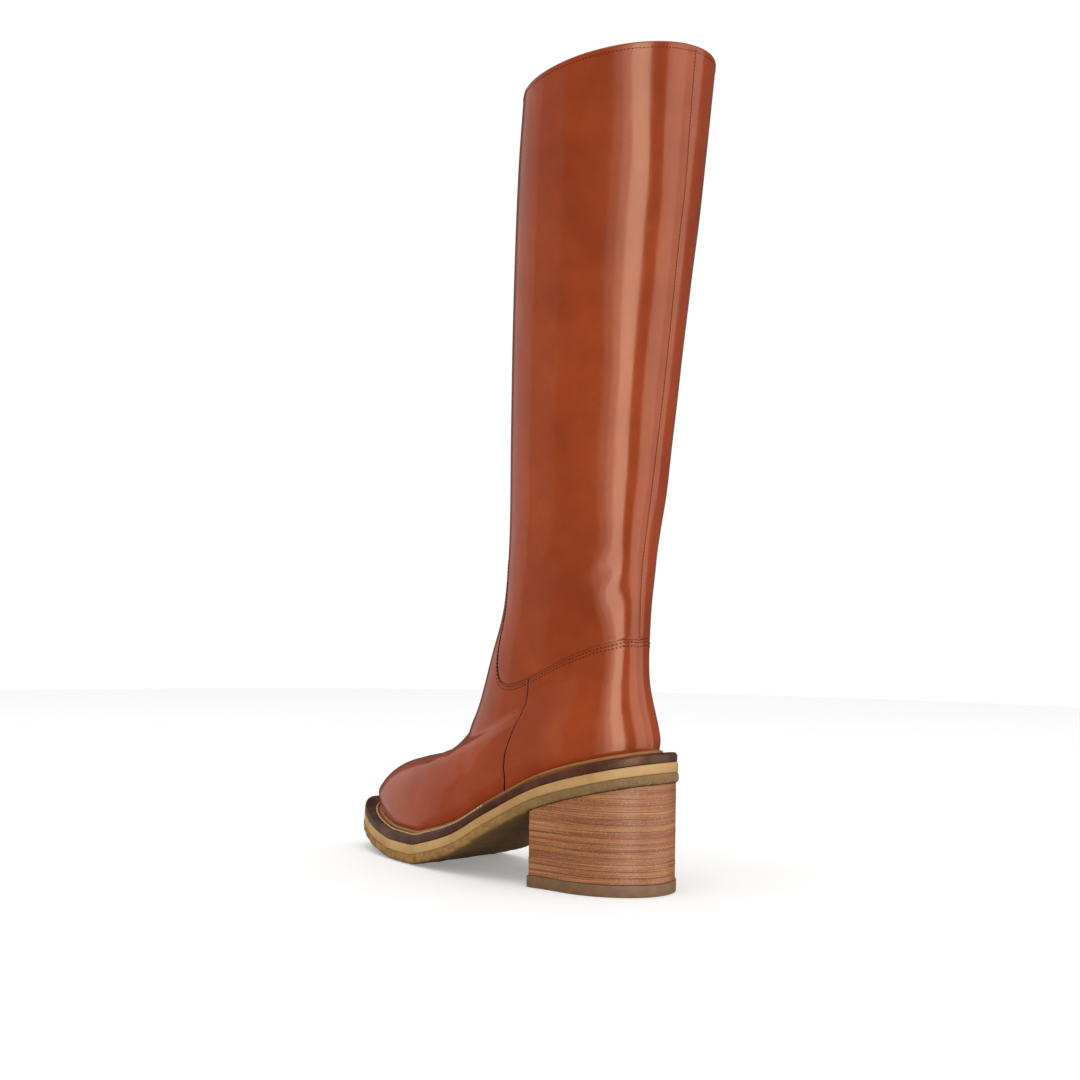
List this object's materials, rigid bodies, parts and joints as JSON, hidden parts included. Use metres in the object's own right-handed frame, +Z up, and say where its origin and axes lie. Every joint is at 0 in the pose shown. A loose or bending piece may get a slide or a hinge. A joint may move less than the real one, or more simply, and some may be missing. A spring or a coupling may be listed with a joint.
{
  "type": "knee-high boot",
  "caption": "Left knee-high leather pull-on boot with a round toe, a stacked block heel and a layered crepe sole, open at the collar.",
  "frame": {"origin": "centre of the boot's footprint box on the floor", "axes": "+Z up the leg, toe towards -Y, outer side of the left foot towards +X"},
  "size_m": [0.0998, 0.266, 0.458],
  "materials": {
    "leather": "polished cognac leather",
    "lining": "plain natural lining leather",
    "welt": "polished dark brown edge",
    "midsole": "matte cream",
    "crepe": "rough crepe",
    "heel_stack": "stacked leather board, waxed",
    "top_lift": "satin rubber"
  },
  "bodies": {
    "root": {"outsole": "crepe", "midsole": "midsole", "welt": "welt", "heel_stack": "heel_stack", "heel_top_lift": "top_lift", "insole": "lining", "upper": "leather", "vamp": "leather", "counter": "leather"}
  },
  "joints": []
}
